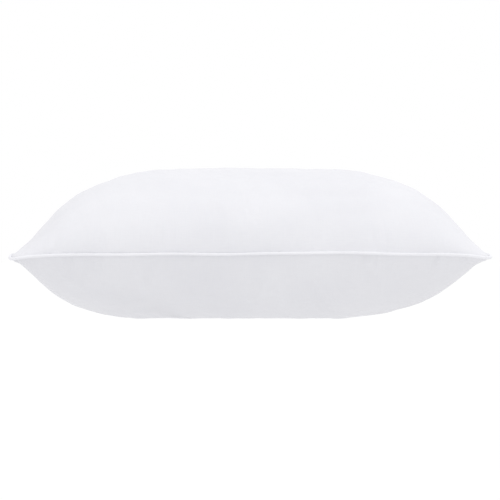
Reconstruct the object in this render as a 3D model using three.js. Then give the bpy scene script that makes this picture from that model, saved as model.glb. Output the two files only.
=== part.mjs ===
// Bed pillow: a filled cotton casing with a corded edge, lying flat on its lower face.
// Units are millimetres and +Z is up. X runs along the long sides and -Y is the front.
// The origin is on the surface the pillow lies on, under the middle of the casing.
//
// Every piece is a run of rings. A ring goes once round the pillow, counter-clockwise from above,
// through the same stations, and neighbouring rings are sewn together with triangles.

import * as THREE from 'three';

// Filled size over the piping, where the sides would meet: the rounded corners stop about 4 mm
// short of it. Each side pulls in towards its middle. A sharper corner has the higher value.
const LENGTH = 648;
const WIDTH = 498;
const END_PULL = 24;
const SIDE_PULL = 30;
const CORNER_SHARPNESS = 30;

// Heights above and below the seam, and how much the casing spreads where it lies.
const LOFT_ABOVE = 117;
const LOFT_BELOW = 88;
const FLATTENING = 1.08;

// Cloth, piping and thread.
const TICKING = 0.6;
const PIPING_CLOTH = 0.35;
const PIPING_CORD_DIAMETER = 2.7;
const PIPING_FLANGE = 10;
const SEAM_ALLOWANCE = 10;
const THREAD_DIAMETER = 0.5;
const CLEARANCE = 0.3;

// Seam details, measured inwards from the middle of the piping.
const STITCH_INSET = 5.5;
const FOLD_RISE = 2;
const FILL_MARGIN = 2;
const CLOSING_REACH = 110;
const CLOSING_INSET = 5;

// Care label, sewn into the back seam.
const LABEL_WIDTH = 38;
const LABEL_DROP = 32;
const LABEL_TAPE = 0.3;
const LABEL_FROM_MIDDLE = 190;

// How finely the rings are cut.
const STATIONS_PER_OCTANT = 8;
const CROWN_RINGS = 9;
const CORD_SIDES = 8;
const COVER_STEPS = 7;
const THREAD_SIDES = 6;

// Sizes that follow from the ones above.
const PIPING_RADIUS = PIPING_CORD_DIAMETER / 2 + CLEARANCE + PIPING_CLOTH;
const HALF_LENGTH = LENGTH / 2 - PIPING_RADIUS;
const HALF_WIDTH = WIDTH / 2 - PIPING_RADIUS;
const SEAM_HEIGHT = LOFT_BELOW;
const FOLD_INSET = PIPING_RADIUS + CLEARANCE;
const FILL_INSET = FOLD_INSET + Math.max(SEAM_ALLOWANCE, PIPING_FLANGE) + FILL_MARGIN;
const FLANGE_TOP = CLEARANCE / 2 + PIPING_CLOTH;
const ALLOWANCE_LOW = FLANGE_TOP + CLEARANCE;
const ALLOWANCE_HIGH = ALLOWANCE_LOW + TICKING;
const RIM_HEIGHT = ALLOWANCE_LOW + FOLD_RISE + TICKING;
const THREAD_HEIGHT = ALLOWANCE_HIGH + CLEARANCE + THREAD_DIAMETER / 2;

// Fullness of a crown: (1 - |u|^a)^b along the length times (1 - |v|^c)^d across the width.
const TOP_CROWN = {
  rise: LOFT_ABOVE - RIM_HEIGHT,
  along: { a: 4.2, b: 1.0 },
  across: { c: 3.0, d: 0.9 },
  flattening: 1,
};
const BOTTOM_CROWN = {
  rise: LOFT_BELOW - RIM_HEIGHT,
  along: { a: 3.8, b: 0.75 },
  across: { c: 2.6, d: 0.75 },
  flattening: FLATTENING,
};

// Angles of the stations round the pillow, closer together towards the corners.
function stationAngles() {
  const octant = Math.PI / 4;
  const angles = [];
  for (let quarter = 0; quarter < 4; quarter += 1) {
    for (let step = 0; step < 2 * STATIONS_PER_OCTANT; step += 1) {
      const t = step / STATIONS_PER_OCTANT - 1;
      const bunched = Math.sign(t) * (1 - Math.cos(octant * 2 * t));
      angles.push(octant * (2 * quarter + 1 + bunched));
    }
  }
  return angles;
}

// The edge in the unit square: a square with rounded corners.
function unitEdge(angle) {
  const c = Math.cos(angle);
  const s = Math.sin(angle);
  const norm = Math.abs(c) ** CORNER_SHARPNESS + Math.abs(s) ** CORNER_SHARPNESS;
  const reach = norm ** (-1 / CORNER_SHARPNESS);
  return { u: c * reach, v: s * reach };
}

// Where a point of the unit square lies in plan, with each side pulled in towards its middle.
function plan({ u, v }) {
  const x = HALF_LENGTH * u - END_PULL * u ** 3 * (1 - v * v);
  const y = HALF_WIDTH * v - SIDE_PULL * v ** 3 * (1 - u * u);
  return new THREE.Vector2(x, y);
}

// Height of the crown over the rim at a point of the unit square.
function crownHeight({ u, v }, crown) {
  const along = (1 - Math.abs(u) ** crown.along.a) ** crown.along.b;
  const across = (1 - Math.abs(v) ** crown.across.c) ** crown.across.d;
  return crown.rise * Math.min(1, crown.flattening * along * across);
}

const EDGE = stationAngles().map(unitEdge);

// Outward direction in plan at each station, square to the edge.
const OUTWARD = EDGE.map((_, k) => {
  const before = plan(EDGE.at(k - 1));
  const after = plan(EDGE[(k + 1) % EDGE.length]);
  const along = after.sub(before).normalize();
  return new THREE.Vector2(along.y, -along.x);
});

// A ring at a set distance inside the edge and a set height over the seam.
function seamRing(inset, height) {
  return EDGE.map((edge, k) => {
    const place = plan(edge).addScaledVector(OUTWARD[k], -inset);
    return new THREE.Vector3(place.x, place.y, SEAM_HEIGHT + height);
  });
}

// A point of the casing's outer face. Side is +1 on the upper panel and -1 on the lower one.
function casingPoint(at, crown, side) {
  const inner = HALF_WIDTH - FOLD_INSET;
  const place = plan(at).multiplyScalar(inner / HALF_WIDTH);
  return new THREE.Vector3(place.x, place.y, SEAM_HEIGHT + side * (RIM_HEIGHT + crownHeight(at, crown)));
}

// The same point on a face that lies a set depth inside: shrunk in plan and moved towards the seam.
function insidePoint(at, crown, side, depth) {
  const outer = casingPoint(at, crown, side);
  const shrink = new THREE.Vector3(1 - depth / HALF_LENGTH, 1 - depth / HALF_WIDTH, 1);
  return outer.multiply(shrink).setZ(outer.z - side * depth);
}

// A ring on a face that lies a set depth under the casing's outer face.
function crownRing(share, crown, side, depth) {
  return EDGE.map(({ u, v }) => insidePoint({ u: u * share, v: v * share }, crown, side, depth));
}

// Shares of the way from the middle to the edge for a panel's rings, closer near the edge. The last
// one is at least the filling's inset from the edge, which the pulled-in sides bring nearer.
function ringShares() {
  const last = 1 - FILL_INSET / Math.min(HALF_LENGTH - 3 * END_PULL, HALF_WIDTH - 3 * SIDE_PULL);
  const turn = Math.PI / 2 / CROWN_RINGS;
  return Array.from({ length: CROWN_RINGS }, (_, j) => last * Math.sin(turn * (j + 1)));
}

// All the rings of one face, from the middle outwards.
function crownRings(crown, side, depth) {
  return ringShares().map((share) => crownRing(share, crown, side, depth));
}

// The middle of a face, which closes its first ring.
function crownPole(crown, side, depth) {
  return insidePoint({ u: 0, v: 0 }, crown, side, depth);
}

// Sews rings into one closed body: between two poles, or back on itself when there are none.
// The rings run outwards over the upper side and inwards under the lower one. Every quad is cut
// from its inner ring to the next station of its outer ring, so nested faces never cross.
function sewRings(rings, poles = []) {
  const count = rings[0].length;
  const index = [];
  const sewn = poles.length ? rings.length - 1 : rings.length;
  for (let j = 0; j < sewn; j += 1) {
    const following = (j + 1) % rings.length;
    const outwards = rings[following][0].x > rings[j][0].x;
    for (let k = 0; k < count; k += 1) {
      const [a, aNext] = [j * count + k, j * count + ((k + 1) % count)];
      const [b, bNext] = [following * count + k, following * count + ((k + 1) % count)];
      index.push(...(outwards ? [a, b, bNext, a, bNext, aNext] : [a, b, aNext, b, bNext, aNext]));
    }
  }
  if (poles.length) {
    const firstPole = rings.length * count;
    const lastRing = (rings.length - 1) * count;
    for (let k = 0; k < count; k += 1) {
      const next = (k + 1) % count;
      index.push(firstPole, k, next, firstPole + 1, lastRing + next, lastRing + k);
    }
  }
  const geometry = new THREE.BufferGeometry().setFromPoints([...rings.flat(), ...poles]);
  geometry.setIndex(index);
  geometry.computeVertexNormals();
  return geometry;
}

// One ticking panel: the crown, the fold at the seam and the allowance turned inside.
function panel(crown, side) {
  const outer = crownRings(crown, side, 0);
  const inner = crownRings(crown, side, TICKING);
  const allowanceEdge = FOLD_INSET + SEAM_ALLOWANCE;
  const seam = [
    seamRing(FOLD_INSET, side * RIM_HEIGHT),
    seamRing(FOLD_INSET, side * ALLOWANCE_LOW),
    seamRing(allowanceEdge, side * ALLOWANCE_LOW),
    seamRing(allowanceEdge, side * ALLOWANCE_HIGH),
    seamRing(FOLD_INSET + TICKING, side * ALLOWANCE_HIGH),
    seamRing(FOLD_INSET + TICKING, side * (RIM_HEIGHT - TICKING)),
  ];
  const rings = [...outer, ...seam, ...inner.toReversed()];
  const poles = [crownPole(crown, side, 0), crownPole(crown, side, TICKING)];
  return side > 0 ? sewRings(rings, poles) : sewRings(rings.toReversed(), poles.toReversed());
}

// The filling: everything inside both panels, as far out as the turned allowances.
function filling() {
  const depth = TICKING + CLEARANCE;
  const upper = crownRings(TOP_CROWN, 1, depth);
  const lower = crownRings(BOTTOM_CROWN, -1, depth);
  const poles = [crownPole(TOP_CROWN, 1, depth), crownPole(BOTTOM_CROWN, -1, depth)];
  return sewRings([...upper, ...lower.toReversed()], poles);
}

// A round section carried along the seam, at an inset from the edge and a height over the seam.
function seamCord(diameter, sides, inset, height) {
  const rings = Array.from({ length: sides }, (_, j) => {
    const angle = -2 * Math.PI * (j / sides);
    const across = (diameter / 2) * Math.cos(angle);
    return seamRing(inset - across, height + (diameter / 2) * Math.sin(angle));
  });
  return sewRings(rings);
}

// The piping's bias strip: wrapped round its cord, with both edges as a flange in the seam.
function pipingCover() {
  const outside = PIPING_RADIUS;
  const inside = PIPING_RADIUS - PIPING_CLOTH;
  const gap = CLEARANCE / 2;
  const arc = (radius, from, to) => {
    return Array.from({ length: COVER_STEPS }, (_, j) => {
      const angle = from + (to - from) * (j / (COVER_STEPS - 1));
      return seamRing(-radius * Math.cos(angle), radius * Math.sin(angle));
    });
  };
  const neckOutside = Math.PI - Math.asin(FLANGE_TOP / outside);
  const neckInside = Math.PI - Math.asin(gap / inside);
  const flangeEdge = FOLD_INSET + PIPING_FLANGE;
  return sewRings([
    seamRing(flangeEdge, FLANGE_TOP),
    ...arc(outside, neckOutside, -neckOutside),
    seamRing(flangeEdge, -FLANGE_TOP),
    seamRing(flangeEdge, -gap),
    ...arc(inside, -neckInside, neckInside),
    seamRing(flangeEdge, gap),
  ]);
}

// The row that closes the fill opening: thread laid on the upper panel along the back seam, from
// station to station, no further than its reach on either side of the middle.
function closingThread() {
  const rim = seamRing(FOLD_INSET, RIM_HEIGHT);
  const crown = crownRings(TOP_CROWN, 1, 0).at(-1);
  const closed = (_, k) => EDGE[k].v > Math.abs(EDGE[k].u) && Math.abs(rim[k].x) <= CLOSING_REACH;
  const slopes = rim.map((point, k) => crown[k].clone().sub(point));
  const points = rim.map((point, k) => {
    const share = (CLOSING_INSET - FOLD_INSET) / Math.abs(slopes[k].y);
    const square = new THREE.Vector3(0, slopes[k].z, -slopes[k].y).normalize();
    const lift = THREAD_DIAMETER / 2 + CLEARANCE;
    return point.clone().addScaledVector(slopes[k], share).addScaledVector(square, lift);
  });
  const path = new THREE.CatmullRomCurve3(points.filter(closed));
  const section = new THREE.Shape().absarc(0, 0, THREAD_DIAMETER / 2, 0, 2 * Math.PI);
  const steps = 2 * path.points.length;
  return new THREE.ExtrudeGeometry(section, { steps, extrudePath: path, curveSegments: THREAD_SIDES });
}

// The care label: a folded tape that hangs from the back seam, just outside the lower panel.
function careLabel() {
  const thickness = 2 * LABEL_TAPE;
  return new THREE.BoxGeometry(LABEL_WIDTH, thickness, LABEL_DROP);
}

const ticking = { color: 0xf1f1f5, roughness: 0.85, metalness: 0 };
const fibre = { color: 0xf7f7f4, roughness: 1, metalness: 0 };
const cotton = { color: 0xf4f4f7, roughness: 0.8, metalness: 0 };
const twine = { color: 0xe9e7e0, roughness: 0.9, metalness: 0 };
const satin = { color: 0xf8f8fa, roughness: 0.5, metalness: 0 };

const pillow = new THREE.Group();

function add(name, geometry, finish) {
  const mesh = new THREE.Mesh(geometry, new THREE.MeshStandardMaterial(finish));
  mesh.name = name;
  pillow.add(mesh);
  return mesh;
}

add('top_panel', panel(TOP_CROWN, 1), ticking);
add('bottom_panel', panel(BOTTOM_CROWN, -1), ticking);
add('fibre_fill', filling(), fibre);
add('piping_cover', pipingCover(), cotton);
add('piping_cord', seamCord(PIPING_CORD_DIAMETER, CORD_SIDES, 0, 0), twine);
add('seam_needle_thread', seamCord(THREAD_DIAMETER, THREAD_SIDES, STITCH_INSET, THREAD_HEIGHT), cotton);
add('seam_bobbin_thread', seamCord(THREAD_DIAMETER, THREAD_SIDES, STITCH_INSET, -THREAD_HEIGHT), cotton);
add('closing_thread', closingThread(), cotton);

// The label hangs under the piping, turned to follow the slope of the back edge.
const label = add('care_label', careLabel(), satin);
const labelU = LABEL_FROM_MIDDLE / HALF_LENGTH;
const labelPlace = plan({ u: labelU, v: 1 });
label.rotation.z = Math.atan((2 * SIDE_PULL * labelU) / HALF_LENGTH);
label.position.set(labelPlace.x, labelPlace.y, SEAM_HEIGHT - PIPING_RADIUS - CLEARANCE - LABEL_DROP / 2);

export default pillow;
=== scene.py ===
import bpy
import numpy as np
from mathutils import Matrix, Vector


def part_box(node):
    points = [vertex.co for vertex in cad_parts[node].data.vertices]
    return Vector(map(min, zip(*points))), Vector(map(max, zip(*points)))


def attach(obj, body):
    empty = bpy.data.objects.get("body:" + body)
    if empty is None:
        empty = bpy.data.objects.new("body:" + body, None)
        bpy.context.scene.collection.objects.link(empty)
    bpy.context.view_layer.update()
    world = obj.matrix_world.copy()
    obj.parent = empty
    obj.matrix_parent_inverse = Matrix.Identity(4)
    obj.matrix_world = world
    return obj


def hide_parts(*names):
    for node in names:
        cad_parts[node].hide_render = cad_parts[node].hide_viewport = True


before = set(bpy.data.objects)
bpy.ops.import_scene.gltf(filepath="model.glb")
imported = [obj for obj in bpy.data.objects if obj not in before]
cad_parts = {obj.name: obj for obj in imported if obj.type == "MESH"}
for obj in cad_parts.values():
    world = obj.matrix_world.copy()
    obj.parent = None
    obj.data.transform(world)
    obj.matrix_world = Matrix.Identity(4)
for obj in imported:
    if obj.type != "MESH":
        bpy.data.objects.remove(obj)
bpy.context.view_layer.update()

# Bed pillow: a filled cotton casing with a corded edge. Metres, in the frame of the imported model:
# X along the long sides, -Y the front, Z up from the surface the pillow lies on.
# u and v run from -1 to 1 across a panel, along X and Y, and side is 1 above the seam and -1 below.

MM = 0.001

# ---------------------------------------------------------------- sizes

PIPING_LOW, PIPING_HIGH = np.array(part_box("piping_cover"))
SEAM_HEIGHT = (PIPING_LOW[2] + PIPING_HIGH[2]) / 2
LOFT_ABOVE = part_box("top_panel")[1][2] - SEAM_HEIGHT
LOFT_BELOW = SEAM_HEIGHT

PIPING_RADIUS = 2.0 * MM
PIPING_CLOTH = 0.35 * MM
FLANGE_GAP = 0.3 * MM
CORD_RADIUS = 1.35 * MM
CORD_STRANDS = 3
CORD_LAY = 12 * MM
TICKING = 0.4 * MM
ALLOWANCE = 10 * MM
FOLD_INSET = 1.75 * MM
# How far each panel's fold stands off the seam's middle: the upper one laps over the cord.
FOLD_ABOVE = 1.0 * MM
FOLD_BELOW = 0.55 * MM
# How far inside its fold each allowance starts to turn, and where it lies flat on the piping's flange.
TURN_START = 0.3 * MM
TURN_END = 1.5 * MM
ALLOWANCE_HEIGHT = FLANGE_GAP / 2 + PIPING_CLOTH + 0.05 * MM
STITCH_INSET = 4.5 * MM
STITCH_LENGTH = 2.6 * MM
STITCH_PITCH = 3.2 * MM
THREAD_RADIUS = 0.25 * MM
STITCH_SIDES = 6
CLOSING_REACH = 100 * MM
CLOSING_INSET = 5 * MM
LABEL_THICKNESS = 0.15 * MM
# Half the distance between the label's two layers.
LABEL_GAP = 0.35 * MM
LABEL_CURL = 1.6 * MM
LABEL_SWING = 2.5 * MM
# The least gap between cloth and what it lies on or hangs from.
CLEARANCE = 0.1 * MM

# How much the cloth stands out at each corner, where the allowances are bunched inside, and how
# much the piping swells there.
CORNER_BUNCH_ABOVE = 1 * MM
CORNER_BUNCH_BELOW = 4 * MM
CORNER_SWELL = 0.25
# The seam drops at the corners, more at the left-hand ones, and rises right of the middle in front.
EAR_DROOP = 10 * MM
EAR_DROOP_TILT = 0.17
SEAM_RISE = 2.0 * MM
SEAM_RISE_AT = 0.3
SEAM_RISE_WIDTH = 0.38
# Powers of |u v| that keep a droop or a swell to the ears, and a bunch to the corners.
EAR_POWER = 14
BUNCH_POWER = 10
# Powers of the distance out with which the seam's lift and sway, the shortening of the grid at its
# corners, and the corrections at the rim fade inwards.
SEAM_FADE = 8
CORNER_FADE = 8
RIM_FADE = 40

# The finished outline: how far each side pulls in at its middle, and how tight the corners are.
END_PULL = 24 * MM
SIDE_PULL = 30 * MM
CORNER_SHARPNESS = 30

# The flat cut of each panel between its seams, and the grids laid on it.
CUT_LENGTH = 0.660
CUT_WIDTH = 0.508
SIM_GRID = (98, 128)
CLOTH_GRID = (176, 236)
# How strongly the grid's lines gather at the rim, where the creases are short.
ROW_CROWDING = 0.6
COLUMN_CROWDING = 0.35

# The crowns above and below the seam: the powers of their profiles along and across, and how far
# they lean. The upper one is a little fuller at its left-hand shoulder.
CROWN_ABOVE = {"along": (5.5, 1.17), "across": (3.3, 0.8), "lean": -0.03}
CROWN_BELOW = {"along": (3.7, 0.6), "across": (2.6, 0.75), "lean": 0.075, "flattening": 1.01}
LEFT_SHOULDER = 5.5 * MM
LEFT_SHOULDER_AT = -0.71
LEFT_SHOULDER_WIDTH = 0.11

# The cloth simulation: a fine, closely woven cotton, pushed out gently.
CLOTH_FRAMES = 20
CLOTH_QUALITY = 6
CLOTH_MASS = 0.3
CLOTH_STRETCH = 15
CLOTH_SHEAR = 5
CLOTH_BENDING = 0.5
CLOTH_PRESSURE = 4
CLOTH_GAP = 0.5 * MM
# How far the simulation lifts the crown above where it is drawn.
SIM_RISE = 7.0 * MM

# Puckers: how many leave each seam, how far from its middle they lie, and how high they stand.
FRONT_PUCKERS, BACK_PUCKERS, END_PUCKERS = 90, 70, 50
LONG_SEAM_REACH, END_SEAM_REACH = 0.31, 0.23
PUCKER_ABOVE, PUCKER_BELOW = 0.9 * MM, 1.5 * MM
# The least and the greatest width and length of a pucker in millimetres, its height as a share of
# the full one, and how far it may lean. Most are grooves.
PUCKER_WIDTHS = (2.5, 5.5)
PUCKER_LENGTHS = (8, 30)
PUCKER_HEIGHTS = (-1, 0.5)
PUCKER_LEANS = (-0.25, 0.25)
# Lumps of filling: the lengths of their waves, their height, and how far inside they are full.
LUMP_WAVES = (0.032, 0.038, 0.045, 0.055, 0.07, 0.09)
LUMP_HEIGHT = 0.5 * MM
LUMP_INSET = 30 * MM
# The seam holds the cloth, so nothing stands out within about this distance of it.
RIM_HOLD = 1.5 * MM
# The filling takes every third line of the cloth's grid, and ends inside the turned allowances.
FILLING_ROWS = slice(11, -11, 3)
FILLING_COLUMNS = slice(10, -10, 3)
FILLING_INSET = 2.5 * MM
FILLING_UNEVENNESS = 0.6 * MM

# Soft folds that leave the long seams, the same ones behind as in front. Each row is its place along
# the seam from the middle, its lean, its width, the distances from the seam where it starts and ends,
# and its height. All but the lean are in millimetres.
FOLDS_BELOW = [
    (-150, 0.15, 9, 14, 75, 1.6),
    (-134, -0.1, 6, 6, 45, -1.6),
    (25, -0.2, 8, 12, 100, -2.2),
    (48, 0.05, 9, 20, 120, 2.2),
    (72, 0.35, 8, 25, 110, -2.0),
    (95, 0.5, 9, 20, 90, 1.6),
    (-60, -0.2, 10, 20, 80, 0.8),
    (170, 0.2, 10, 15, 80, -0.9),
    (-215, -0.3, 9, 10, 60, -0.9),
]
FOLDS_ABOVE = [
    (-60, 0.3, 15, 30, 110, -1.3),
    (-20, -0.4, 14, 25, 100, 1.3),
    (15, -0.1, 13, 30, 120, -1.4),
    (38, 0.25, 14, 30, 110, 1.2),
    (130, 0.3, 18, 30, 110, 1.0),
    (-45, 0.0, 75, 5, 75, 1.0),
    (150, 0.0, 80, 0, 80, -2.0),
    (-175, 0.0, 70, 0, 80, 4.0),
    (-265, 0.0, 40, 0, 60, 3.0),
    (265, 0.0, 40, 0, 60, 3.0),
]

# Studio. The floor's own colour is dark, because its white is its glow.
FLOOR_REACH = 30.0
FLOOR_COLOUR = "#4b4b4b"
FLOOR_GLOW = 0.95
SKY = 1.0
OVERHEAD = {"place": (0.7, -0.4, 2.2), "width": 3.0, "height": 2.0, "watts": 16}
LOW_SIDE = {"place": (-2.6, -1.6, 0.5), "width": 1.0, "height": 0.8, "watts": 4.5}
CAMERA_DISTANCE = 7.0
CAMERA_OVER_SEAM = 6 * MM
# How much of the frame's width the pillow fills.
CAMERA_FILL = 0.97
SENSOR_WIDTH = 36

RANDOM = np.random.default_rng(20)


# ---------------------------------------------------------------- outline


def unit_edge(s, t):
    """A square grid drawn in to a square with rounded corners: its rim is shortened along the rays
    from the middle to the curve |u|^n + |v|^n = 1, n being the corner sharpness. The shortening
    fades inwards, so that the middle of the grid stays even."""
    largest = np.maximum(np.maximum(np.abs(s), np.abs(t)), 1e-9)
    norm = np.abs(s / largest) ** CORNER_SHARPNESS + np.abs(t / largest) ** CORNER_SHARPNESS
    reach = np.maximum(norm, 1) ** (-1 / CORNER_SHARPNESS)
    drawn = 1 + (reach - 1) * largest**CORNER_FADE
    return s * drawn, t * drawn


def rim_share(u, v):
    """1 on the outline and less inside it: (|u|^n + |v|^n)^(1/n), n being the corner sharpness."""
    return (np.abs(u) ** CORNER_SHARPNESS + np.abs(v) ** CORNER_SHARPNESS) ** (1 / CORNER_SHARPNESS)


def pulled_in(u, v, half_length, half_width):
    """Plan of the outline: x falls short by END_PULL u^3 (1 - v^2) and y by SIDE_PULL v^3 (1 - u^2),
    so that each side pulls in most at its middle and the corners stay out."""
    x = half_length * u - END_PULL * u**3 * (1 - v**2)
    y = half_width * v - SIDE_PULL * v**3 * (1 - u**2)
    return x, y


def outline(count):
    """Grid parameters once round the outline, anticlockwise from the middle of the right-hand end:
    the rays of a full turn, each taken out to the rounded square."""
    turn = np.linspace(0, 2 * np.pi, count)
    s, t = np.cos(turn), np.sin(turn)
    largest = np.maximum(np.abs(s), np.abs(t))
    return unit_edge(s / largest, t / largest)


def outline_halves():
    """Half length and half width that bring the piping's outside to the frame's box."""
    u, v = outline(4001)
    wanted = (PIPING_HIGH - PIPING_LOW)[:2] / 2 - PIPING_RADIUS
    x, y = pulled_in(u, v, wanted[0], wanted[1])
    return wanted[0] ** 2 / x.max(), wanted[1] ** 2 / y.max()


HALF_LENGTH, HALF_WIDTH = outline_halves()


def seam_lift(u, v):
    """Height of the seam over its mean. It rises as a Gaussian a little right of the middle in
    front, waves all along as two sines of 0.4 and 0.3 mm, and drops with |u v|^14 at the corners."""
    rise = SEAM_RISE * np.exp(-(((u - SEAM_RISE_AT) / SEAM_RISE_WIDTH) ** 2)) * np.clip(-v, 0, 1)
    wave = 0.4 * MM * np.sin(9.0 * u + 2.0 * v + 0.6) + 0.3 * MM * np.sin(17.0 * u - 11.0 * v + 2.1)
    droop = EAR_DROOP * (1 - EAR_DROOP_TILT * u) * np.abs(u * v) ** EAR_POWER
    return rise + wave - droop


def seam_sway(u, v):
    """In-and-out waviness of the edge, along the outline: two sines of 0.4 and 0.25 mm."""
    return 0.4 * MM * np.sin(13.0 * u + 7.0 * v) + 0.25 * MM * np.sin(31.0 * u - 23.0 * v + 1.0)


def seam_place(u, v, inset):
    """Points over the unit square that end on the seam line, some way inside the piping's middle.
    The seam's lift and sway fade inwards."""
    x, y = pulled_in(u, v, HALF_LENGTH - inset, HALF_WIDTH - inset)
    rim = rim_share(u, v) ** SEAM_FADE
    scale = 1 + seam_sway(u, v) * rim / HALF_WIDTH
    return np.stack([x * scale, y * scale, SEAM_HEIGHT + seam_lift(u, v) * rim], -1)


# ---------------------------------------------------------------- grids and meshes


def square_grid(v_lines, u_lines):
    """Grid parameters u and v on the given lines, drawn in to the outline's rounded square."""
    s, t = np.meshgrid(u_lines, v_lines)
    return unit_edge(s, t)


def cut_place(u, v):
    """Where a grid point lies on the flat-cut panel, in metres from its middle."""
    return np.stack([CUT_LENGTH / 2 * u, CUT_WIDTH / 2 * v], -1)


def grid_quads(numbers):
    """Quads between the rows of an array of vertex numbers, facing up where rows go to +Y."""
    corners = [numbers[:-1, :-1], numbers[:-1, 1:], numbers[1:, 1:], numbers[1:, :-1]]
    return np.stack(corners, -1).reshape(-1, 4)


def rim_loop(grid):
    """The rim of a grid, once round, anticlockwise from above."""
    return np.concatenate([grid[0, :-1], grid[:-1, -1], grid[-1, :0:-1], grid[:0:-1, 0]])


def closed(numbers, axis):
    """An array of vertex numbers with its first line repeated at its end."""
    return np.concatenate([numbers, np.take(numbers, [0], axis)], axis)


def grid_normals(points):
    """Unit normals of a grid of points, from the differences along its rows and columns."""
    normal = np.cross(np.gradient(points, axis=1), np.gradient(points, axis=0))
    return normal / np.maximum(np.linalg.norm(normal, axis=-1, keepdims=True), 1e-12)


def spread(points, old, new):
    """A grid of points carried from evenly spaced lines to new ones along its first axis, by the
    Catmull-Rom cubic through four neighbours."""
    at = np.clip((new + 1) / 2 * (old - 1), 0, old - 1.000001)
    first = np.floor(at).astype(int)
    f = (at - first)[:, None, None]
    around = [points[np.clip(first + step, 0, old - 1)] for step in (-1, 0, 1, 2)]
    weights = [
        -f / 2 + f**2 - f**3 / 2,
        1 - 2.5 * f**2 + 1.5 * f**3,
        f / 2 + 2 * f**2 - 1.5 * f**3,
        (f**3 - f**2) / 2,
    ]
    return sum(weight * line for weight, line in zip(weights, around))


def make_piece(name, points, faces, uv=None):
    """A new object at the origin from arrays of points and quads, with an optional UV per point."""
    mesh = bpy.data.meshes.new(name)
    mesh.from_pydata(points.reshape(-1, 3).tolist(), [], faces.tolist())
    if uv is not None:
        layer = mesh.uv_layers.new(name="cloth")
        corner = np.empty(len(mesh.loops), np.int32)
        mesh.loops.foreach_get("vertex_index", corner)
        layer.data.foreach_set("uv", uv.reshape(-1, 2)[corner].astype(np.float32).ravel())
    mesh.shade_smooth()
    mesh.update()
    piece = bpy.data.objects.new(name, mesh)
    bpy.context.collection.objects.link(piece)
    return piece


def flat_square(name, reach):
    """A level square on the surface the pillow lies on."""
    corners = np.array([(-reach, -reach, 0), (reach, -reach, 0), (reach, reach, 0), (-reach, reach, 0)])
    return make_piece(name, corners, np.array([(0, 1, 2, 3)]))


# ---------------------------------------------------------------- casing


def crown(u, v, rise, along, across, lean, flattening=1.0):
    """Height of a crown over the seam: (1 - |u|^a)^b along the length times (1 - |v|^c)^d across,
    cut off flat where the pillow lies. A positive lean moves it towards the left-hand end."""
    a, b = along
    c, d = across
    u = np.clip(u + lean * (1 - u**2), -1, 1)
    full = np.maximum(1 - np.abs(u) ** a, 0) ** b * np.maximum(1 - np.abs(v) ** c, 0) ** d
    return rise * np.minimum(1, flattening * full)


def drawn_casing(u, v):
    """The two panels as drawn, before the cloth is let go: a crown above and one below the seam."""
    top = seam_place(u, v, FOLD_INSET)
    bottom = top.copy()
    top[..., 2] += crown(u, v, LOFT_ABOVE - SIM_RISE, **CROWN_ABOVE)
    shoulder = np.exp(-(((u - LEFT_SHOULDER_AT) / LEFT_SHOULDER_WIDTH) ** 2))
    top[..., 2] += LEFT_SHOULDER * shoulder * (1 - v**2)
    bottom[..., 2] -= crown(u, v, LOFT_BELOW, **CROWN_BELOW)
    return top, bottom


def sewn_casing(top, bottom, cut):
    """The casing as drawn: two panels that share their rim, with the flat cut as a shape key and
    the rim as a vertex group. Also the vertex numbers of the upper and of the lower panel."""
    rim = np.ones(top.shape[:2], bool)
    rim[1:-1, 1:-1] = False
    upper = np.arange(rim.size).reshape(rim.shape)
    lower = upper.copy()
    lower[~rim] = rim.size + np.arange((~rim).sum())
    start = np.concatenate([top.reshape(-1, 3), bottom[~rim]])
    flat = np.concatenate([cut.reshape(-1, 3), cut[~rim]])
    faces = np.concatenate([grid_quads(upper), grid_quads(lower)[:, ::-1]])
    casing = make_piece("casing", start, faces)
    casing.shape_key_add(name="drawn")
    cut_key = casing.shape_key_add(name="flat cut")
    cut_key.data.foreach_set("co", flat.ravel())
    cut_key.value = 0
    held = casing.vertex_groups.new(name="seam")
    held.add(upper[rim].tolist(), 1.0, "REPLACE")
    return casing, upper, lower


def let_go(top, bottom, cut):
    """Cloth simulation of the casing: two flat-cut panels sewn at the rim, the seam held where it
    was drawn, pushed out by pressure on to the surface the pillow lies on."""
    casing, upper, lower = sewn_casing(top, bottom, cut)
    ground = flat_square("ground", 1.0)
    ground.modifiers.new("collide", "COLLISION")
    ground.collision.thickness_outer = CLOTH_GAP

    cloth = casing.modifiers.new("cloth", "CLOTH")
    settings = cloth.settings
    settings.quality = CLOTH_QUALITY
    settings.mass = CLOTH_MASS
    settings.tension_stiffness = CLOTH_STRETCH
    settings.compression_stiffness = CLOTH_STRETCH
    settings.shear_stiffness = CLOTH_SHEAR
    settings.bending_stiffness = CLOTH_BENDING
    settings.use_pressure = True
    settings.uniform_pressure_force = CLOTH_PRESSURE
    settings.vertex_group_mass = "seam"
    settings.rest_shape_key = casing.data.shape_keys.key_blocks["flat cut"]
    settings.effector_weights.gravity = 0
    cloth.collision_settings.distance_min = CLOTH_GAP
    scene = bpy.context.scene
    scene.frame_start = 1
    scene.frame_end = cloth.point_cache.frame_end = CLOTH_FRAMES
    for number in range(1, CLOTH_FRAMES + 1):
        scene.frame_set(number)
    mesh = casing.evaluated_get(bpy.context.evaluated_depsgraph_get()).data
    points = np.empty(3 * len(mesh.vertices))
    mesh.vertices.foreach_get("co", points)
    points = points.reshape(-1, 3)
    scene.frame_set(1)
    bpy.data.objects.remove(casing)
    bpy.data.objects.remove(ground)
    return points[upper], points[lower]


def crowded(count, crowding):
    """Lines from -1 to 1 that gather at both ends: s = q + crowding sin(pi q) / pi."""
    q = np.linspace(-1, 1, count + 1)
    return q + crowding * np.sin(np.pi * q) / np.pi


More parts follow.
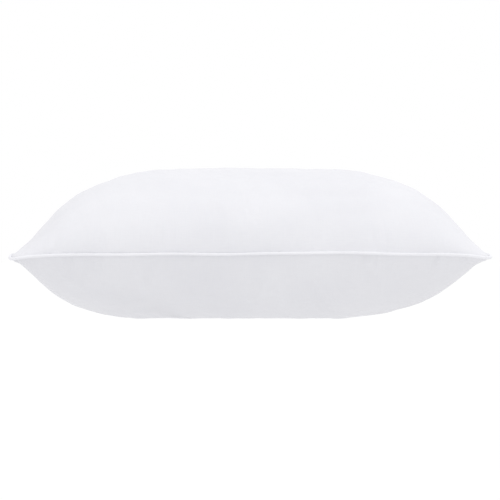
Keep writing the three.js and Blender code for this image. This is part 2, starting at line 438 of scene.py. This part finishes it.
def refined(points):
    """A grid of points carried from the simulation's even grid to the finer one."""
    rows, columns = SIM_GRID
    fine_rows, fine_columns = CLOTH_GRID
    tall = spread(points, rows + 1, crowded(fine_rows, ROW_CROWDING))
    wide = spread(tall.swapaxes(0, 1), columns + 1, crowded(fine_columns, COLUMN_CROWDING))
    return wide.swapaxes(0, 1)


def filled_casing():
    """Both panels as filled, on the fine grid. What the coarser grid loses of the seam's line is
    put back, so that the rim lies exactly on the seam."""
    rows, columns = SIM_GRID
    fine_rows, fine_columns = CLOTH_GRID
    u, v = square_grid(crowded(rows, 0), crowded(columns, 0))
    fine_u, fine_v = square_grid(
        crowded(fine_rows, ROW_CROWDING), crowded(fine_columns, COLUMN_CROWDING))
    panels = drawn_casing(u, v)
    panels = let_go(*panels, np.dstack([cut_place(u, v), 0 * u]))
    lost = seam_place(fine_u, fine_v, FOLD_INSET) - refined(seam_place(u, v, FOLD_INSET))
    lost *= rim_share(fine_u, fine_v)[..., None] ** RIM_FADE
    return fine_u, fine_v, *[refined(points) + lost for points in panels]


def puckers(at, depth, count, reach, full_height):
    """Short creases that leave a seam: each is a Gaussian in the place along the seam, times
    exp(-(depth / length)^1.5), so that it starts at the seam and fades inwards. at is the place
    along the seam and depth the distance from it, both in metres."""
    centres = RANDOM.uniform(-reach, reach, count)
    widths = RANDOM.uniform(*PUCKER_WIDTHS, count) * MM
    lengths = RANDOM.uniform(*PUCKER_LENGTHS, count) * MM
    heights = RANDOM.uniform(*PUCKER_HEIGHTS, count) * full_height
    leans = RANDOM.uniform(*PUCKER_LEANS, count)
    total = np.zeros_like(at)
    for centre, width, length, height, slope in zip(centres, widths, lengths, heights, leans):
        across = (at - centre - slope * depth) / width
        total += height * np.exp(-(across**2)) * np.exp(-((depth / length) ** 1.5))
    return total


def soft_folds(x, depth, folds):
    """Long shallow folds square to a seam. Each is a Gaussian ridge along a leaning line, faded in
    and out along it with the fourth power of the distance from its middle."""
    total = np.zeros_like(x)
    for place, lean, width, start, end, height in folds:
        across = (x - place * MM - lean * depth) / (width * MM)
        middle = (start + end) / 2 * MM
        run = (depth - middle) / ((end - start) / 2 * MM)
        total += height * MM * np.exp(-(across**2)) * np.exp(-(run**4))
    return total


def lumps(x, y, waves, height):
    """Gentle unevenness of the filling: the sum of plane sine waves in random directions, divided by
    the square root of their number."""
    total = np.zeros_like(x)
    for wavelength in waves:
        heading, phase = RANDOM.uniform(0, 2 * np.pi, 2)
        total += np.sin(2 * np.pi / wavelength * (x * np.cos(heading) + y * np.sin(heading)) + phase)
    return height * total / np.sqrt(len(waves))


def dressed(u, v, points, side):
    """A panel with its finer shape: puckers at all four seams, soft folds at the two long ones,
    lumps of filling and bunched corners, laid on along the normals of the simulated cloth."""
    cut = cut_place(u, v)
    x, y = cut[..., 0], cut[..., 1]
    normal = grid_normals(points) * side
    front, back = np.maximum(CUT_WIDTH / 2 + y, 0), np.maximum(CUT_WIDTH / 2 - y, 0)
    left, right = np.maximum(CUT_LENGTH / 2 + x, 0), np.maximum(CUT_LENGTH / 2 - x, 0)
    height = PUCKER_ABOVE if side > 0 else PUCKER_BELOW
    folds = FOLDS_ABOVE if side > 0 else FOLDS_BELOW
    bunch = CORNER_BUNCH_ABOVE if side > 0 else CORNER_BUNCH_BELOW
    rise = puckers(x, front, FRONT_PUCKERS, LONG_SEAM_REACH, height)
    rise += puckers(x, back, BACK_PUCKERS, LONG_SEAM_REACH, height)
    rise += puckers(y, left, END_PUCKERS, END_SEAM_REACH, height / 2)
    rise += puckers(y, right, END_PUCKERS, END_SEAM_REACH, height / 2)
    rise += soft_folds(x, front, folds)
    rise += soft_folds(-x, back, folds)
    nearest = (1 - rim_share(u, v)) * CUT_WIDTH / 2
    inside = 1 - np.exp(-((nearest / LUMP_INSET) ** 2))
    rise += inside * lumps(x, y, LUMP_WAVES, LUMP_HEIGHT)
    rise += bunch * np.abs(u * v) ** BUNCH_POWER
    rise *= 1 - np.exp(-nearest / RIM_HOLD)
    finished = points + rise[..., None] * normal
    finished[..., 2] = np.maximum(finished[..., 2], CLEARANCE)
    return finished


def panel(name, u, v, points, side):
    """One ticking panel: the cloth grid, then its fold at the seam and its allowance turned inside.
    Its UV is the place on the flat cut, in metres."""
    points = points.copy()
    stand_off = FOLD_ABOVE if side > 0 else -FOLD_BELOW
    flat_height = side * ALLOWANCE_HEIGHT
    points[..., 2] += stand_off * rim_share(u, v) ** RIM_FADE
    numbers = np.arange(u.size).reshape(u.shape)
    loop = rim_loop(numbers)
    edge_u, edge_v = rim_loop(u), rim_loop(v)
    turned, turned_uv = [], []
    for inset, height in (
        (TURN_START, stand_off),
        (TURN_END, flat_height),
        (ALLOWANCE, flat_height),
    ):
        ring = seam_place(edge_u, edge_v, FOLD_INSET + inset)
        ring[:, 2] += height
        turned.append(ring)
        turned_uv.append(cut_place(edge_u, edge_v) * (1 + inset / (CUT_WIDTH / 2)))
    rings = u.size + np.arange(3 * loop.size).reshape(3, -1)
    strips = np.concatenate([loop[None], rings])
    strip_quads = grid_quads(closed(strips, 1))[:, ::-1]
    faces = np.concatenate([grid_quads(numbers), strip_quads])
    if side < 0:
        faces = faces[:, ::-1]
    everything = np.concatenate([points.reshape(-1, 3), *turned])
    uv = np.concatenate([cut_place(u, v).reshape(-1, 2), *turned_uv])
    piece = make_piece(name, everything, faces, uv)
    wall = piece.modifiers.new("cloth", "SOLIDIFY")
    wall.thickness = TICKING
    wall.offset = -1
    return piece


def filling(u, v, top, bottom):
    """The fibre filling: the filled casing drawn in along its normals, uneven by the product of two
    sines, and closed by a strip just inside the turned allowances."""
    x, y = pulled_in(u, v, HALF_LENGTH, HALF_WIDTH)
    points = []
    for grid, side in ((top, 1), (bottom, -1)):
        uneven = 1 + np.sin(190 * x + side) * np.sin(170 * y)
        depth = FILLING_INSET + FILLING_UNEVENNESS * uneven
        drawn_in = grid - side * depth[..., None] * grid_normals(grid)
        points.append(drawn_in[FILLING_ROWS, FILLING_COLUMNS])
    shape = points[0].shape[:2]
    upper = np.arange(shape[0] * shape[1]).reshape(shape)
    lower = upper + upper.size
    sides = np.stack([rim_loop(lower), rim_loop(upper)])
    faces = [grid_quads(upper), grid_quads(lower)[:, ::-1], grid_quads(closed(sides, 1))]
    return make_piece("polyester_fibre_filling", np.stack(points), np.concatenate(faces))


# ---------------------------------------------------------------- seam


def seam_path(count):
    """Places evenly spaced along the middle of the piping, the outward direction in plan, and the
    distance gone."""
    path = seam_place(*outline(8001), 0)
    steps = np.linalg.norm(np.diff(path, axis=0), axis=1)
    length = np.concatenate([[0], np.cumsum(steps)])
    at = np.linspace(0, length[-1], count, endpoint=False)
    even = np.stack([np.interp(at, length, path[:, axis]) for axis in range(3)], -1)
    along = np.roll(even, -1, 0) - np.roll(even, 1, 0)
    outward = np.stack([along[:, 1], -along[:, 0], 0 * at], -1)
    return even, outward / np.linalg.norm(outward, axis=1, keepdims=True), at


SEAM_LENGTH = seam_path(3000)[2][-1]


def carry(name, section, count):
    """A closed section carried once round the seam. The section holds points (outwards, up) from
    the middle of the piping, one set for all stations or one for each."""
    path, outward, at = seam_path(count)
    section = np.broadcast_to(section, (count,) + section.shape[-2:])
    points = path[:, None] + section[..., :1] * outward[:, None]
    points[..., 2] += section[..., 1]
    sides = section.shape[1]
    numbers = closed(closed(np.arange(count * sides).reshape(count, sides), 0), 1)
    around = np.linspace(0, 2 * np.pi * PIPING_RADIUS, sides, endpoint=False)
    uv = np.stack(np.broadcast_arrays(at[:, None], around[None]), -1)
    return make_piece(name, points, grid_quads(numbers)[:, ::-1], uv)


def arc(radius, start, end, steps):
    """Points of an arc in the section, from one angle to another."""
    angle = np.linspace(start, end, steps)
    return np.stack([radius * np.cos(angle), radius * np.sin(angle)], -1)


def piping_cover():
    """The bias strip: an arc round the cord, then inwards as the two layers of a flange. Its round
    part swells and shrinks along the seam by the sum of three sines, a few hundredths in all, as
    hand-fed piping does, and it swells at the four corners."""
    count = 1500
    inner = PIPING_RADIUS - PIPING_CLOTH
    half_gap = FLANGE_GAP / 2
    flange = half_gap + PIPING_CLOTH
    neck = np.pi - np.arcsin(flange / PIPING_RADIUS)
    inner_neck = np.pi - np.arcsin(half_gap / inner)
    reach = -(FOLD_INSET + ALLOWANCE)
    section = np.concatenate([
        [[reach, flange]],
        arc(PIPING_RADIUS, neck, -neck, 15),
        [[reach, -flange], [reach, -half_gap]],
        arc(inner, -inner_neck, inner_neck, 9),
        [[reach, half_gap]],
    ])
    at = np.linspace(0, 2 * np.pi, count, endpoint=False)[:, None, None]
    swell = 1 + 0.025 * np.sin(83 * at) + 0.02 * np.sin(191 * at + 1) + 0.015 * np.sin(347 * at + 2)
    path = seam_path(count)[0]
    corner = np.abs(path[:, 0] / HALF_LENGTH * path[:, 1] / HALF_WIDTH) ** EAR_POWER
    bead = section[None] * (swell + CORNER_SWELL * corner[:, None, None])
    whole = np.where(section[None, :, :1] > -PIPING_RADIUS, bead, section[None])
    return carry("piping_bias_cover", whole[:, ::-1], count)


def filler_cord():
    """Cotton cord: a section of radius r (0.86 + 0.14 cos(n angle)), one lobe to each of its n
    strands, that turns once for each lay."""
    count = 1600
    turns = round(SEAM_LENGTH / CORD_LAY)
    turn = np.linspace(0, 2 * np.pi * turns, count, endpoint=False)[:, None]
    angle = np.linspace(0, 2 * np.pi, 12, endpoint=False)[None]
    radius = CORD_RADIUS * (0.86 + 0.14 * np.cos(CORD_STRANDS * (angle + turn)))
    section = np.stack([radius * np.cos(angle), radius * np.sin(angle)], -1)
    return carry("piping_filler_cord", section, count)


# ---------------------------------------------------------------- stitches and label


def stitch_row(name, middles, along, up):
    """Stitches as one piece. Each is a thread whose thickness goes from end to end with the square
    root of a half sine, and whose middle line arches out of the cloth with a half sine, by its own
    thickness. Two quads close each six-sided end."""
    t = np.linspace(0, 1, 7)
    angle = np.linspace(0, 2 * np.pi, STITCH_SIDES, endpoint=False)
    across = np.cross(along, up)
    swell = THREAD_RADIUS * np.maximum(np.sin(np.pi * t), 0.04) ** 0.5
    line = middles[:, None] + (t - 0.5)[None, :, None] * STITCH_LENGTH * along[:, None]
    line += (np.sin(np.pi * t) * 2 - 1.4)[None, :, None] * THREAD_RADIUS * up[:, None]
    ring = np.cos(angle)[:, None] * across[:, None] + np.sin(angle)[:, None] * up[:, None]
    points = line[:, :, None] + swell[None, :, None, None] * ring[:, None]
    per = t.size * angle.size
    tube = closed(np.arange(per).reshape(t.size, -1), 1)
    first_end = np.array([(0, 1, 2, 3), (0, 3, 4, 5)])
    last_end = per - STITCH_SIDES + first_end[:, ::-1]
    one = np.concatenate([grid_quads(tube)[:, ::-1], first_end, last_end])
    faces = (one[None] + per * np.arange(len(middles))[:, None, None]).reshape(-1, 4)
    uv = np.stack(np.broadcast_arrays(t[:, None] * STITCH_LENGTH, angle[None] * THREAD_RADIUS), -1)
    uv = np.broadcast_to(uv, (len(middles),) + uv.shape)
    return make_piece(name, points, faces, uv)


def seam_stitches(name, side):
    """The row that sews the panels and the piping together, on the turned allowance."""
    count = int(SEAM_LENGTH / STITCH_PITCH)
    path, outward, _ = seam_path(count)
    up = np.broadcast_to([0, 0, float(side)], path.shape)
    along = np.cross(up, outward)
    middles = path - STITCH_INSET * outward + (ALLOWANCE_HEIGHT + TICKING) * up
    return stitch_row(name, middles, along, up)


def closing_stitches(points):
    """The row that closes the filling opening, on the upper panel beside the back seam: places on
    the panel's surface at equal steps along X, a set distance from the rim."""
    rim_to_row = np.linalg.norm(np.diff(points[::-1], axis=0), axis=-1).mean(1).cumsum()
    row = -(2 + int(np.searchsorted(rim_to_row, CLOSING_INSET)))
    normal = grid_normals(points)[row]
    at = np.arange(-CLOSING_REACH, CLOSING_REACH, STITCH_PITCH)
    line = points[row]
    middles = np.stack([np.interp(at, line[:, 0], line[:, axis]) for axis in range(3)], -1)
    up = np.stack([np.interp(at, line[:, 0], normal[:, axis]) for axis in range(3)], -1)
    up /= np.linalg.norm(up, axis=1, keepdims=True)
    along = np.gradient(middles, axis=0)
    along /= np.linalg.norm(along, axis=1, keepdims=True)
    return stitch_row("closing_stitches", middles, along, up)


def care_label():
    """A blank folded tape that hangs from the back seam: down, round a narrow fold and up again. It
    swings and curls in towards the pillow with the square of the distance down, and curls with the
    square of the distance from its middle. Also its flat size."""
    low, high = np.array(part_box("care_label"))
    drop = high[2] - low[2]
    width = high[0] - low[0]
    straight = np.linspace(0, 1, 12)
    turn = np.linspace(0, np.pi, 7)[1:-1]
    layer = LABEL_GAP + 0 * straight
    depth = np.concatenate([straight * drop, drop + LABEL_GAP * np.sin(turn), drop * straight[::-1]])
    out = np.concatenate([layer, LABEL_GAP * np.cos(turn), -layer])
    s = np.linspace(-0.5, 0.5, 25)[:, None]
    u = (low[0] + width / 2) / HALF_LENGTH
    place = seam_place(np.array(u), np.array(1.0), 0)
    slope = 2 * SIDE_PULL * u / HALF_LENGTH
    curl = (LABEL_CURL * (2 * s) ** 2 + LABEL_SWING) * (depth / drop) ** 2
    x = place[0] + width * s + 0 * depth
    y = place[1] + slope * width * s + out - curl
    z = place[2] - PIPING_RADIUS - CLEARANCE - depth + 0 * s
    uv = np.stack(np.broadcast_arrays(width * s, np.linspace(0, 2 * drop, depth.size)), -1)
    faces = grid_quads(np.arange(x.size).reshape(x.shape))
    piece = make_piece("care_label_tape", np.stack([x, y, z], -1), faces, uv)
    wall = piece.modifiers.new("tape", "SOLIDIFY")
    wall.thickness = LABEL_THICKNESS
    wall.offset = 0
    return piece, (float(width), float(2 * drop))


# ---------------------------------------------------------------- materials


def linear(hex_colour):
    """An sRGB hex colour as linear RGBA."""
    channels = np.array([int(hex_colour[i:i + 2], 16) / 255 for i in (1, 3, 5)])
    low = channels / 12.92
    high = ((channels + 0.055) / 1.055) ** 2.4
    return tuple(np.where(channels <= 0.04045, low, high)) + (1.0,)


def set_inputs(tree, node, inputs):
    """Gives each of a node's inputs its value, or a link from the socket that feeds it. A node given
    in place of a socket feeds it from its first output."""
    for key, value in inputs.items():
        if isinstance(value, bpy.types.Node):
            value = value.outputs[0]
        if isinstance(value, bpy.types.NodeSocket):
            tree.links.new(value, node.inputs[key])
        else:
            node.inputs[key].default_value = value


def add_node(tree, kind, inputs, **settings):
    """Adds a node with its settings, and with the values and links of its inputs."""
    node = tree.nodes.new(kind)
    for key, value in settings.items():
        setattr(node, key, value)
    set_inputs(tree, node, inputs)
    return node


def new_material(name, **surface):
    """A material, its node tree and its shader. What is the same all over the surface is set on the
    shader's own inputs."""
    material = bpy.data.materials.new(name)
    material.use_nodes = True
    shader = material.node_tree.nodes["Principled BSDF"]
    inputs = {key.replace("_", " "): value for key, value in surface.items()}
    set_inputs(material.node_tree, shader, inputs)
    return material, material.node_tree, shader


def plain_weave(tree, where, pitch):
    """Height of a plain weave from 0 to 1. Threads run both ways at the pitch; each is a rounded
    ridge |sin| that goes over and under by turns, and the higher of the two shows."""
    axes = add_node(tree, "ShaderNodeSeparateXYZ", {"Vector": where})
    ridges, signs = [], []
    for axis in ("X", "Y"):
        place = {0: axes.outputs[axis], 1: np.pi / pitch}
        phase = add_node(tree, "ShaderNodeMath", place, operation="MULTIPLY")
        wave = add_node(tree, "ShaderNodeMath", {0: phase}, operation="SINE")
        ridges.append(add_node(tree, "ShaderNodeMath", {0: wave}, operation="ABSOLUTE"))
        signs.append(add_node(tree, "ShaderNodeMath", {0: wave}, operation="SIGN"))
    over = add_node(tree, "ShaderNodeMath", {0: signs[0], 1: signs[1]}, operation="MULTIPLY")
    threads = []
    for ridge, lift in zip(ridges, (0.25, -0.25)):
        level = add_node(tree, "ShaderNodeMath", {0: over, 1: lift, 2: 0.75}, operation="MULTIPLY_ADD")
        threads.append(add_node(tree, "ShaderNodeMath", {0: ridge, 1: level}, operation="MULTIPLY"))
    return add_node(tree, "ShaderNodeMath", {0: threads[0], 1: threads[1]}, operation="MAXIMUM")


def cotton_percale(name, pitch, dark, light, bias=0.0):
    """Bleached cotton percale, close and smooth: matt, with the faint sheen of combed yarn. Slubs run
    along its threads both ways, and its white is faintly cloudy, in patches of about 100 mm."""
    material, tree, shader = new_material(
        name, Roughness=0.78, IOR=1.47, Sheen_Weight=0.12, Sheen_Roughness=0.4)
    cloth = add_node(tree, "ShaderNodeUVMap", {}, uv_map="cloth")
    grain = add_node(tree, "ShaderNodeMapping", {"Vector": cloth, "Rotation": (0, 0, bias)})
    weave = plain_weave(tree, grain, pitch)
    slubs = []
    # Slubs are about 1 mm across and 17 mm long.
    for scale in ((60, 900, 1), (900, 60, 1)):
        streak = add_node(tree, "ShaderNodeMapping", {"Vector": grain, "Scale": scale})
        noise = {"Vector": streak, "Scale": 1.0, "Detail": 3.0}
        slubs.append(add_node(tree, "ShaderNodeTexNoise", noise))
    yarn = add_node(tree, "ShaderNodeMath", {0: slubs[0], 1: slubs[1]}, operation="ADD")
    body = add_node(tree, "ShaderNodeTexCoord", {})
    noise = {"Vector": body.outputs["Object"], "Scale": 9.0, "Detail": 4.0}
    clouds = add_node(tree, "ShaderNodeTexNoise", noise)
    cloudy = add_node(tree, "ShaderNodeMath", {0: clouds, 1: 0.9}, operation="MULTIPLY")
    tone = add_node(tree, "ShaderNodeMath", {0: yarn, 1: 0.35, 2: cloudy}, operation="MULTIPLY_ADD")
    colours = add_node(tree, "ShaderNodeValToRGB", {"Fac": tone})
    first, last = colours.color_ramp.elements
    first.position, first.color = 0.45, linear(dark)
    last.position, last.color = 1.0, linear(light)
    height = add_node(tree, "ShaderNodeMath", {0: yarn, 1: 0.35, 2: weave}, operation="MULTIPLY_ADD")
    relief = {"Height": height, "Strength": 0.35, "Distance": 0.12 * MM}
    bump = add_node(tree, "ShaderNodeBump", relief)
    set_inputs(tree, shader, {"Base Color": colours, "Normal": bump})
    return material


def spun_yarn(name, dark, light, lay):
    """Twisted yarn: matt cotton or polyester, with the slanting lines of its twist, one to a lay. A
    wave texture of scale 0.31 repeats about once in a metre."""
    material, tree, shader = new_material(name, Roughness=0.85, IOR=1.5, Sheen_Weight=0.2)
    length = add_node(tree, "ShaderNodeUVMap", {}, uv_map="cloth")
    slant = add_node(tree, "ShaderNodeMapping", {"Vector": length, "Rotation": (0, 0, 0.7)})
    lines = {"Vector": slant, "Scale": 0.31 / lay, "Distortion": 1.5, "Detail": 2.0}
    twist = add_node(tree, "ShaderNodeTexWave", lines).outputs["Fac"]
    blend = {"Factor": twist, "A": linear(dark), "B": linear(light)}
    shade = add_node(tree, "ShaderNodeMix", blend, data_type="RGBA")
    bump = add_node(tree, "ShaderNodeBump", {"Height": twist, "Strength": 0.6, "Distance": 0.1 * MM})
    set_inputs(tree, shader, {"Base Color": shade.outputs["Result"], "Normal": bump})
    return material


def fibre_batting():
    """Slickened polyester staple fibre: white, fuzzy, crimped strands in every direction. Its tufts
    are about 15 mm across, and the strands are drawn far coarser than the real 0.03 mm, to show."""
    material, tree, shader = new_material(
        "polyester fibre", Roughness=0.9, IOR=1.57, Sheen_Weight=0.4, Sheen_Roughness=0.3)
    body = add_node(tree, "ShaderNodeTexCoord", {})
    noise = {"Vector": body.outputs["Object"], "Scale": 60.0, "Detail": 3.0}
    bend = add_node(tree, "ShaderNodeTexNoise", noise)
    lines = {"Vector": bend.outputs["Color"], "Scale": 14.0, "Distortion": 9.0, "Detail": 5.0}
    strands = add_node(tree, "ShaderNodeTexWave", lines).outputs["Fac"]
    blend = {"Factor": strands, "A": linear("#e6e6e4"), "B": linear("#f8f8f6")}
    shade = add_node(tree, "ShaderNodeMix", blend, data_type="RGBA")
    bump = add_node(tree, "ShaderNodeBump", {"Height": strands, "Strength": 0.8, "Distance": 1 * MM})
    set_inputs(tree, shader, {"Base Color": shade.outputs["Result"], "Normal": bump})
    return material


def satin_tape():
    """Woven polyester satin tape: smooth, with fine ribs both ways and a soft gloss."""
    material, tree, shader = new_material(
        "white satin tape", Base_Color=linear("#e9e9ed"), Roughness=0.42, IOR=1.57, Sheen_Weight=0.1)
    cloth = add_node(tree, "ShaderNodeUVMap", {}, uv_map="cloth")
    # The real ribs are 0.15 mm apart; drawn at 0.6 mm so that they show.
    ribs = plain_weave(tree, cloth, 0.6 * MM)
    bump = add_node(tree, "ShaderNodeBump", {"Height": ribs, "Strength": 0.3, "Distance": 0.1 * MM})
    set_inputs(tree, shader, {"Normal": bump})
    return material


# ---------------------------------------------------------------- studio


def light_table():
    """White glowing acrylic under the pillow: part of its light comes from below."""
    floor = flat_square("floor", FLOOR_REACH)
    acrylic, _, _ = new_material(
        "white acrylic sheet", Base_Color=linear(FLOOR_COLOUR), Roughness=1.0, Specular_IOR_Level=0.0,
        Emission_Color=linear("#ffffff"), Emission_Strength=FLOOR_GLOW)
    floor.data.materials.append(acrylic)


def softbox(name, place, width, height, watts):
    """A rectangular lamp that faces the pillow."""
    light = bpy.data.lights.new(name, "AREA")
    light.energy = watts
    light.shape = "RECTANGLE"
    light.size, light.size_y = width, height
    lamp = bpy.data.objects.new(name, light)
    lamp.location = place
    lamp.rotation_euler = Vector(place).to_track_quat("Z", "Y").to_euler()
    bpy.context.collection.objects.link(lamp)


def studio_light():
    """A white room, one large lamp overhead, a little to the right and in front, and a weaker one
    low at the left."""
    world = bpy.data.worlds.new("white studio")
    world.use_nodes = True
    background = world.node_tree.nodes["Background"]
    set_inputs(world.node_tree, background, {"Color": linear("#ffffff"), "Strength": SKY})
    bpy.context.scene.world = world
    softbox("overhead softbox", **OVERHEAD)
    softbox("low side softbox", **LOW_SIDE)
    bpy.context.scene.view_settings.view_transform = "Standard"


def camera():
    """Level, just above the seam, square to the front, through a long lens."""
    seen = (PIPING_HIGH[0] - PIPING_LOW[0]) / CAMERA_FILL
    lens = bpy.data.cameras.new("camera")
    lens.sensor_width = SENSOR_WIDTH
    lens.lens = SENSOR_WIDTH * (CAMERA_DISTANCE + PIPING_LOW[1]) / seen
    eye = bpy.data.objects.new("camera", lens)
    eye.location = (0, -CAMERA_DISTANCE, SEAM_HEIGHT + CAMERA_OVER_SEAM)
    eye.rotation_euler = (np.pi / 2, 0, 0)
    bpy.context.collection.objects.link(eye)
    bpy.context.scene.camera = eye


# ---------------------------------------------------------------- assembly

u, v, top_smooth, bottom_smooth = filled_casing()
top_fine = dressed(u, v, top_smooth, 1)
bottom_fine = dressed(u, v, bottom_smooth, -1)

top_panel = panel("top_panel_ticking", u, v, top_fine, 1)
bottom_panel = panel("bottom_panel_ticking", u, v, bottom_fine, -1)
fibre = filling(u, v, top_fine, bottom_fine)
piping = piping_cover()
label, label_cut = care_label()

# Percale threads are 0.25 mm apart; drawn at 0.9 mm on the panels and at 0.7 mm on the piping, so
# that the weave shows.
ticking = cotton_percale("white cotton percale", 0.9 * MM, "#d9d9de", "#e0e0e4")
# The piping is the panels' percale painted a few levels lighter: a painted highlight that stands for
# the light its round bead catches from overhead.
bias_strip_painted_highlight = cotton_percale("bias cotton percale painted lighter", 0.7 * MM, "#e2e2e7", "#e9e9ed", np.pi / 4)
thread = spun_yarn("white polyester thread", "#e4e4ea", "#f2f2f6", 0.8 * MM)
twine = spun_yarn("cotton filler cord", "#d9d4c8", "#f0ece2", 2 * MM)

PIECES = [
    (top_panel, "top_panel", "ticking", ticking),
    (bottom_panel, "bottom_panel", "ticking", ticking),
    (piping, "piping_cover", "piping", bias_strip_painted_highlight),
    (filler_cord(), "piping_cord", "cord", twine),
    (fibre, "fibre_fill", "filling", fibre_batting()),
    (seam_stitches("seam_needle_stitches", 1), "seam_needle_thread", "thread", thread),
    (seam_stitches("seam_bobbin_stitches", -1), "seam_bobbin_thread", "thread", thread),
    (closing_stitches(top_fine), "closing_thread", "thread", thread),
    (label, "care_label", "label", satin_tape()),
]
for piece, stands_for, slot, material in PIECES:
    piece.data.materials.append(material)
    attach(piece, "root")
    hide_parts(stands_for)

light_table()
studio_light()
camera()
